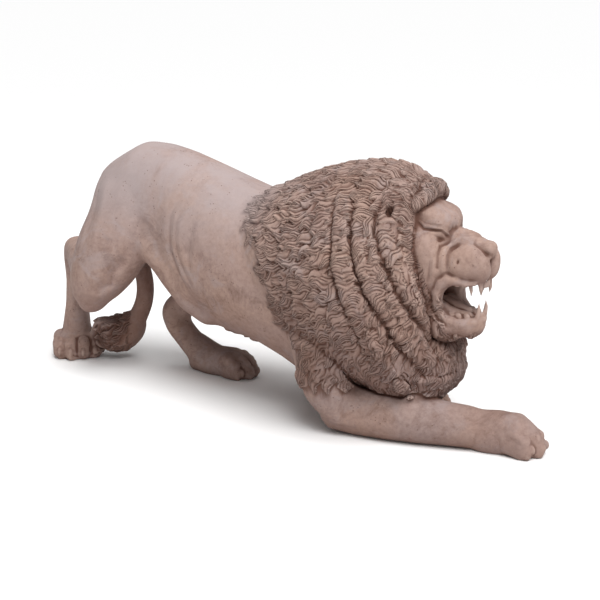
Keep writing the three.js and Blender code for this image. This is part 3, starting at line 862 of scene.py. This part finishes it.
def on_lock(lock, points):
    """How far along a lock points are, as a share and in mm, how far across, its half width, how far off it."""
    way = lock.way - lock.normal * (lock.way @ lock.normal)
    way /= np.linalg.norm(way)
    d = points - lock.root
    p, q, n = d @ way, d @ np.cross(lock.normal, way), d @ lock.normal
    t = np.clip(p / lock.length, 0, 1)
    half = lock.width * np.interp(t, [0, 0.1, 0.35, 0.65, 0.88, 1], [0.7, 0.92, 1, 0.82, 0.42, 0.12])
    middle = lock.wave * (np.sin(lock.phase + 2 * np.pi * p / 62) - math.sin(lock.phase)) + lock.curl * t * t
    return t, p, (q - middle) / half, half, n


def clear_of_legs(lock):
    """Whether a lock starts high enough to hang over a leg without lying on it."""
    x, y, z = lock.root - CENTRE
    on_arm = x < 300 and abs(y) > 140
    return z > (262 if on_arm or lock.ground[2] > 0.3 else 172)


def bare_places(points, normals, locks, rng):
    """Places in the mane and beard that no lock covers yet, in a random order."""
    at = points - CENTRE
    behind = at[:, 0] + 190 - (792 - at[:, 2]) * 0.47
    shell = Clay(points.min(0) - 20, points.max(0) + 20, 10.0)
    shell.fill(*mane_shell(40.0))
    hairy = (shell.sample(points) < 0) & (behind > 105) & (at[:, 2] > 190)
    hairy |= (at[:, 0] > 420) & (at[:, 2] > 185) & (at[:, 2] < 430)
    hairy &= at[:, 0] < 560 - (at[:, 2] - 430) * 0.35
    hairy &= ~((at[:, 0] > 430) & (np.abs(at[:, 1]) < 114) & (at[:, 2] > 370))
    hairy &= ~((at[:, 0] < 300) & (np.abs(at[:, 1]) > 140) & (at[:, 2] < 250)) & ~((normals[:, 2] > 0.2) & (at[:, 2] < 240))
    crowd = Crowd(points, normals)
    for lock in locks:
        hairy[spread(lock, crowd)[0]] = False
    return rng.permutation(np.flatnonzero(hairy)), crowd


def filling_locks(points, normals, locks, rng):
    """Locks over whatever the rows have left bare."""
    places, crowd = bare_places(points, normals, locks, rng)
    bare = np.zeros(len(points), bool)
    bare[places] = True
    added = []
    for k in places:
        if bare[k]:
            away = normals[k]
            way = np.array([-0.7 + rng.normal(0, 0.15), 0, -0.75])
            way = way - away * (way @ away)
            if np.linalg.norm(way) < 0.35:
                continue
            way /= np.linalg.norm(way)
            length = rng.uniform(62, 92)
            added.append(Lock(
                root=points[k] - way * length * 0.4, way=way, normal=away, length=length, width=rng.uniform(17, 25),
                strands=int(rng.choice([2, 3, 3, 4])), phase=rng.uniform(0, 6.3),
                wave=rng.uniform(4, 8) * (1 if points[k][1] < 0 else -1), curl=rng.normal(0, 8), rise=rng.uniform(0, 5),
                fade=1.0, ground=away))
            bare[spread(added[-1], crowd)[0]] = False
    return added


def spread(lock, crowd):
    """The points of a crowd that a lock covers, where across it they are, and how high it stands there."""
    near = crowd.near(lock.root + lock.way * lock.length / 2, 0.5 * lock.length + 2 * lock.width)
    t, p, x, half, n = on_lock(lock, crowd.points[near])
    facing = crowd.normals[near]
    on = (np.abs(x) < 1) & (p > -3) & (p < lock.length) & (np.abs(n) < 55) & (facing @ lock.normal > 0.1)
    # none lies on the stretched foreleg
    ahead, high = crowd.points[near, 0] - CENTRE[0], crowd.points[near, 2]
    on &= (ahead < 220) | ((high > 140) & ((high > 215) | (facing[:, 2] < 0.1)))
    near, x, t, half = crowd.order[near[on]], x[on], t[on], half[on]
    up = lock.rise * t + np.interp(t, [0, 0.12, 0.8, 1], [-3, 0, 7.5, 4.5]) + 4.0 * np.sqrt(1 - x * x)
    up = up * lock.fade + (1 - lock.fade) * (up * 0.45 - 1.0)
    return near, x, half, up


def combed(lock, x):
    """Where across its strands a place on a lock is; whole numbers are the grooves."""
    return (x + 1) / 2 * lock.strands + 0.26 * np.sin(3 * x + lock.phase)


def carve_locks(points, normals, locks, height):
    """Raises the skin's points along their normals into locks of hair; where locks lap, the upper shows."""
    height = height.copy()
    crowd = Crowd(points, normals)
    for lock in locks:
        near, x, half, up = spread(lock, crowd)
        groove = 1 - np.abs(np.sin(np.pi * combed(lock, x))) ** 0.75
        up = up - GROOVE_DEPTH * np.minimum(1, half / lock.strands / 3.4) * groove * (0.4 + 0.6 * lock.fade)
        height[near] = np.maximum(height[near], up)
    for ear in EARS:
        height *= step_up(np.linalg.norm((points - ear) / [1, 1.6, 2.0], axis=1), 8, 22)
    return points + normals * height[:, None]


def comb_hair(obj, locks):
    """Stores on each corner of the mesh where it is across the strands of its lock."""
    points, faces = mesh_arrays(obj)
    points = points.astype(float)
    a, b, c = (points[faces[:, i]] for i in range(3))
    normals = np.cross(b - a, c - a)
    normals /= np.linalg.norm(normals, axis=1, keepdims=True) + 1e-9
    crowd = Crowd((a + b + c) / 3, normals)
    height, owner = np.full(len(faces), -20.0), np.full(len(faces), -1)
    for k, lock in enumerate(locks):
        near, _, _, up = spread(lock, crowd)
        higher = up > height[near]
        height[near[higher]], owner[near[higher]] = up[higher], k
    comb = np.full(faces.shape, 0.5)
    order = np.argsort(owner, kind="stable")
    first = np.searchsorted(owner[order], np.arange(len(locks) + 1))
    for k, lock in enumerate(locks):
        mine = order[first[k]:first[k + 1]]
        if len(mine):
            comb[mine] = combed(lock, np.clip(on_lock(lock, points[faces[mine]])[2], -1.15, 1.15))
    store(obj, "hair", "FACE", owner >= 0)
    store(obj, "comb", "CORNER", comb)


def grow_hair(obj, skin, body, rng):
    """Carves the hair into the lion's skin and returns its locks."""
    points, _ = mesh_arrays(obj)
    points, normals = points.astype(float), point_normals(obj).astype(float)
    locks = mane_locks(skin, rng) + face_locks(skin, rng)
    locks = [lock for lock in locks if clear_of_legs(lock)]
    places, facing = body
    locks += filling_locks(places, facing, locks, rng)
    locks += body_locks(skin, rng)
    points = carve_locks(points, normals, locks, np.zeros(len(points)))
    obj.data.vertices.foreach_set("co", (points * MM).astype(np.float32).ravel())
    obj.data.update()
    return locks


# ---------------------------------------------------------------- one skin

def gathered(parts):
    """Several meshes as one list of points and one of faces."""
    points, faces, base = [], [], 0
    for p, f in parts:
        points.append(p)
        faces.append(f + base)
        base += len(p)
    return np.vstack(points), np.vstack(faces)


def new_object(name, points, faces):
    mesh = bpy.data.meshes.new(name)
    mesh.vertices.add(len(points))
    mesh.vertices.foreach_set("co", (points * MM).astype(np.float32).ravel())
    mesh.loops.add(faces.size)
    mesh.loops.foreach_set("vertex_index", faces.astype(np.int32).ravel())
    mesh.polygons.add(len(faces))
    mesh.polygons.foreach_set("loop_start", np.arange(0, faces.size, 3, dtype=np.int32))
    mesh.update(calc_edges=True)
    obj = bpy.data.objects.new(name, mesh)
    bpy.context.scene.collection.objects.link(obj)
    return obj


def choose(obj):
    """Selects this object alone and makes it active."""
    bpy.ops.object.select_all(action="DESELECT")
    obj.select_set(True)
    bpy.context.view_layer.objects.active = obj


def finish_with(obj, kind, **values):
    """Adds a modifier and applies it."""
    choose(obj)
    modifier = obj.modifiers.new(kind.title(), kind)
    for key, value in values.items():
        setattr(modifier, key, value)
    bpy.ops.object.modifier_apply(modifier=modifier.name)


def keep_inside(obj):
    """Holds the mesh inside the CAD solid's box."""
    points = np.empty(len(obj.data.vertices) * 3, np.float32)
    obj.data.vertices.foreach_get("co", points)
    low, high = (np.array(corner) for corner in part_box(NODE))
    points = np.clip(points.reshape(-1, 3), low + (PLAY, PLAY, 0), high - PLAY)
    obj.data.vertices.foreach_set("co", points.astype(np.float32).ravel())
    obj.data.update()


def mark_relief(obj):
    """Stores how far each point stands proud of the surface round it, in mm, for the stain and painted shade in
    hollows, and how far it looks down or lies in the shadow of the haunches, for painted shade under the body and on
    the tail."""
    points, faces = mesh_arrays(obj)
    low, high = points.min(0) - 30, points.max(0) + 30
    for name, step, sigma in (("relief", 4.0, 1.5), ("hollow", 8.0, 2.6)):
        clay = Clay(low, high, step)
        clay.fill(points, faces)
        clay.field = softened(clay.field, sigma)
        store(obj, name, "POINT", clay.sample(points.astype(float)))
    # painted shade: faces that look down, and the tail where the haunches shadow it, are stored in "under" to be
    # darkened
    tail = Clay(low, high, 10.0)
    tail.roll([[x + CENTRE[0], y, z, r] for x, y, z, r in TAIL + TAIL_TUFT])
    painted_tail_shade = 1.15 * step_up(-tail.sample(points.astype(float)), -24, -4)
    store(obj, "under", "POINT", np.maximum(-point_normals(obj)[:, 2], painted_tail_shade))


# ---------------------------------------------------------------- stone

def cast_stone(sizes):
    """Sand-coloured cast stone: mottled and stained, darkened in its hollows by stain and painted shade, with painted
    shade in the grooves between strands, under the body and low down, pitted and rubbed pale.
    """
    material = bpy.data.materials.new("cast_stone")
    material.use_nodes = True
    tree = material.node_tree
    shader = tree.nodes["Principled BSDF"]

    def node(kind, inputs=(), **values):
        made = tree.nodes.new(kind)
        for key, value in values.items():
            setattr(made, key, value)
        for key, value in dict(inputs).items():
            if isinstance(value, bpy.types.NodeSocket):
                tree.links.new(value, made.inputs[key])
            else:
                made.inputs[key].default_value = value
        return made

    def noise(scale, detail, rough=0.55, distortion=0.0):
        return node("ShaderNodeTexNoise", {
            "Vector": place, "Scale": scale, "Detail": detail, "Roughness": rough, "Distortion": distortion,
        }).outputs["Fac"]

    def ramp(value, low, high, low_out=0.0, high_out=1.0):
        return node("ShaderNodeMapRange", {
            "Value": value, "From Min": low, "From Max": high, "To Min": low_out, "To Max": high_out,
        }, interpolation_type="SMOOTHSTEP").outputs["Result"]

    def mix(share, a, b, blend="MIX"):
        return node("ShaderNodeMix", {0: share, 6: a, 7: b}, data_type="RGBA", blend_type=blend).outputs[2]

    def math_node(kind, a, b):
        return node("ShaderNodeMath", {0: a, 1: b}, operation=kind).outputs[0]

    def stored(name):
        return node("ShaderNodeAttribute", attribute_name=name).outputs["Fac"]

    stone, warm, bloom, stain_and_shade, rubbed = (tuple(colour) + (1,) for colour in (
        sizes.stone_colour, sizes.warm_colour, sizes.bloom_colour, sizes.stain_and_shade_colour, sizes.rubbed_colour))
    place = node("ShaderNodeTexCoord").outputs["Object"]
    relief, hollow = stored("relief"), stored("hollow")
    base = mix(ramp(noise(5, 6, 0.6, 0.3), 0.35, 0.68), stone, warm)
    base = mix(ramp(noise(2.2, 5, 0.6, 0.6), 0.46, 0.72, 0, 0.55), base, bloom)
    base = mix(ramp(noise(60, 5, 0.7), 0.30, 0.75, 0.0, 0.30), base, stain_and_shade)
    base = mix(ramp(noise(7, 6, 0.7, 1.2), 0.50, 0.66, 0.0, 0.45), base, bloom)
    base = mix(ramp(noise(9, 8, 0.75, 0.6), 0.46, 0.70, 0.0, 0.52), base, stain_and_shade)
    # painted shade: darker on faces that look down and on the tail in the haunches' shadow
    base = mix(ramp(stored("under"), -0.12, 0.95, 0, 0.62), base, stain_and_shade)
    # painted shade in the broad hollows, such as between the ropes of hair
    base = mix(ramp(hollow, -1.0, -11.0, 0, 0.70), base, stain_and_shade)
    # stain and painted shade in small recesses
    base = mix(ramp(relief, 0.0, -2.4, 0, 0.86), base, stain_and_shade)
    base = mix(ramp(relief, 0.8, 3.0, 0, 0.40), base, rubbed)
    strand = math_node("ABSOLUTE", math_node("SINE", math_node("MULTIPLY", stored("comb"), math.pi), 0.0), 0.0)
    # painted shade in the grooves between the strands of each lock
    base = mix(ramp(strand, 0.80, 0.0, 0, 0.55), base, stain_and_shade)
    apart = node("ShaderNodeSeparateXYZ", {0: place})
    high = apart.outputs["Z"]
    aged = math_node("MULTIPLY", ramp(high, 0.50, 0.84), ramp(noise(3, 5, 0.65, 0.4), 0.3, 0.6, 0.1, 0.85))
    aged = math_node("MULTIPLY", aged, ramp(apart.outputs["X"], 0.2, -0.1))
    base = mix(aged, base, bloom)
    # painted shade: darker towards the bottom, as the lower flank, belly and legs lie in shade
    base = mix(ramp(high, 0.62, 0.05, 0, 0.17), base, stain_and_shade)
    # painted shade: the hair darker towards the bottom
    base = mix(math_node("MULTIPLY", stored("hair"), ramp(high, 0.80, 0.25, 0.02, 0.36)), base, stain_and_shade)
    pits = node("ShaderNodeTexVoronoi", {"Vector": place, "Scale": 85.0, "Randomness": 1.0}).outputs["Distance"]
    sparse = ramp(noise(22, 3, 0.6), 0.53, 0.63)
    pit = math_node("MULTIPLY", ramp(pits, 0.26, 0.12), sparse)
    base = mix(math_node("MULTIPLY", pit, 0.7), base, stain_and_shade)
    grain = noise(420, 4, 0.7)
    coarse = noise(95, 6, 0.65)
    height = math_node("ADD", math_node("MULTIPLY", grain, 0.25), math_node("MULTIPLY", coarse, 0.6))
    height = math_node("SUBTRACT", height, math_node("MULTIPLY", pit, 0.9))
    fine = node("ShaderNodeBump", {"Strength": 0.45, "Distance": 0.003, "Height": height}).outputs["Normal"]
    bump = node("ShaderNodeBump", {
        "Strength": 0.8, "Distance": 0.006, "Height": math_node("POWER", strand, 0.8), "Normal": fine,
    })
    tree.links.new(bump.outputs["Normal"], shader.inputs["Normal"])
    tree.links.new(base, shader.inputs["Base Color"])
    tree.links.new(ramp(noise(14, 4), 0.3, 0.7, 0.74, 0.92), shader.inputs["Roughness"])
    shader.inputs["Specular IOR Level"].default_value = 0.32
    return material


# ---------------------------------------------------------------- settings

# Soft lamps as name, place, size and power.
LAMPS = (("key", (2.4, -3.4, 4.6), 2.0, 70), ("top", (-0.8, 0.8, 4.4), 2.6, 50))
LAMPS_AIM = Vector((0, 0, 0.4))
SUN_WAY, SUN_SOFTNESS, SUN_POWER = Vector((-0.42, 0.22, -1)), 38, 2.8
FLOOR_SHADE, WORLD_POWER = 0.96, 0.27
CAMERA_PLACE, CAMERA_AIM, CAMERA_LENS = Vector((2.281, -3.484, 1.578)), Vector((0.142, -0.06, 0.42)), 69


class LionSettings(bpy.types.PropertyGroup):
    """Sizes and colours of the lion."""

    stone_colour: bpy.props.FloatVectorProperty(
        name="Stone", description="Colour of the cast stone", subtype="COLOR",
        default=(0.375, 0.262, 0.226), min=0, max=1)
    warm_colour: bpy.props.FloatVectorProperty(
        name="Warm patches", description="Colour of its warmer patches", subtype="COLOR",
        default=(0.42, 0.284, 0.23), min=0, max=1)
    bloom_colour: bpy.props.FloatVectorProperty(
        name="Bloom", description="Greyish bloom on broad surfaces", subtype="COLOR",
        default=(0.37, 0.305, 0.30), min=0, max=1)
    # also the colour of the painted shade: in hollows, in the grooves between strands, on faces that look down, on the
    # tail and low down on the body
    stain_and_shade_colour: bpy.props.FloatVectorProperty(
        name="Stain", description="Stain that lies in hollows", subtype="COLOR",
        default=(0.115, 0.052, 0.036), min=0, max=1)
    rubbed_colour: bpy.props.FloatVectorProperty(
        name="Rubbed", description="Rubbed high edges", subtype="COLOR",
        default=(0.50, 0.375, 0.325), min=0, max=1)
    face_count: bpy.props.IntProperty(
        name="Faces", description="Triangles in the finished lion", default=196000, min=20000, max=199000)


class LION_OT_model(bpy.types.Operator):
    """Model the lion"""

    bl_idname = "lion.model"
    bl_label = "Model the lion"

    def execute(self, context):
        settings = context.scene.stalking_lion
        rng = np.random.default_rng(11)
        body = rough_body()
        open_face(body)
        add_ropes(body)
        model_body(body)
        parts = [body.skin(), head_clay().skin()]
        parts += [paw_skin(*paw) for paw in PAWS.values()]
        lion = new_object("lion", *gathered(parts))
        finish_with(lion, "REMESH", mode="VOXEL", voxel_size=SKIN_STEP * MM)
        finish_with(lion, "SMOOTH", factor=0.5, iterations=1)
        locks = grow_hair(lion, Skin(*gathered(parts[:2])), with_normals(*parts[0]), rng)
        have = len(lion.data.polygons) * 2
        finish_with(lion, "DECIMATE", ratio=min(1.0, settings.face_count / have), use_collapse_triangulate=True)
        keep_inside(lion)
        mark_relief(lion)
        comb_hair(lion, locks)
        choose(lion)
        bpy.ops.object.shade_smooth()
        lion.data.materials.append(cast_stone(settings))
        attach(lion, "root")
        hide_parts(NODE)
        return {"FINISHED"}


class LION_OT_stage(bpy.types.Operator):
    """Lay the floor, hang the lights and set up the camera"""

    bl_idname = "lion.stage"
    bl_label = "Set the stage"

    def execute(self, context):
        bpy.ops.object.select_all(action="DESELECT")
        bpy.ops.mesh.primitive_plane_add(size=400, location=(0, 0, 0))
        floor = context.object
        floor.name = "floor"
        pale = bpy.data.materials.new("pale_floor")
        pale.use_nodes = True
        shader = pale.node_tree.nodes["Principled BSDF"]
        shader.inputs["Base Color"].default_value = (FLOOR_SHADE, FLOOR_SHADE, FLOOR_SHADE, 1)
        shader.inputs["Roughness"].default_value = 0.9
        floor.data.materials.append(pale)
        world = bpy.data.worlds.new("studio")
        context.scene.world = world
        world.use_nodes = True
        background = world.node_tree.nodes["Background"]
        background.inputs["Color"].default_value = (1, 1, 1, 1)
        background.inputs["Strength"].default_value = WORLD_POWER
        for name, place, size, power in LAMPS:
            bpy.ops.object.light_add(type="AREA", location=place)
            light = context.object
            light.name = name
            light.data.size = size
            light.data.energy = power
            light.rotation_euler = (LAMPS_AIM - Vector(place)).to_track_quat("-Z", "Y").to_euler()
        bpy.ops.object.light_add(type="SUN", location=(1, -2, 5))
        sun = context.object
        sun.name = "soft_sun"
        sun.data.angle = math.radians(SUN_SOFTNESS)
        sun.data.energy = SUN_POWER
        sun.rotation_euler = SUN_WAY.to_track_quat("-Z", "Y").to_euler()
        context.scene.view_settings.view_transform = "Standard"
        bpy.ops.object.camera_add(location=CAMERA_PLACE)
        camera = context.object
        camera.rotation_euler = (CAMERA_AIM - CAMERA_PLACE).to_track_quat("-Z", "Y").to_euler()
        camera.data.lens = CAMERA_LENS
        context.scene.camera = camera
        return {"FINISHED"}


class LION_PT_panel(bpy.types.Panel):
    """The lion's settings and the steps that make it"""

    bl_label = "Stalking Lion"
    bl_idname = "LION_PT_panel"
    bl_space_type = "VIEW_3D"
    bl_region_type = "UI"
    bl_category = "Stalking Lion"

    def draw(self, context):
        for name in LionSettings.__annotations__:
            self.layout.prop(context.scene.stalking_lion, name)
        for step in STEPS:
            self.layout.operator(step.bl_idname)


STEPS = (LION_OT_model, LION_OT_stage)
CLASSES = (LionSettings, *STEPS, LION_PT_panel)


def register():
    for cls in CLASSES:
        bpy.utils.register_class(cls)
    bpy.types.Scene.stalking_lion = bpy.props.PointerProperty(type=LionSettings)


def unregister():
    del bpy.types.Scene.stalking_lion
    for cls in reversed(CLASSES):
        bpy.utils.unregister_class(cls)


def main():
    register()
    bpy.ops.lion.model()
    bpy.ops.lion.stage()


if __name__ == "__main__":
    main()
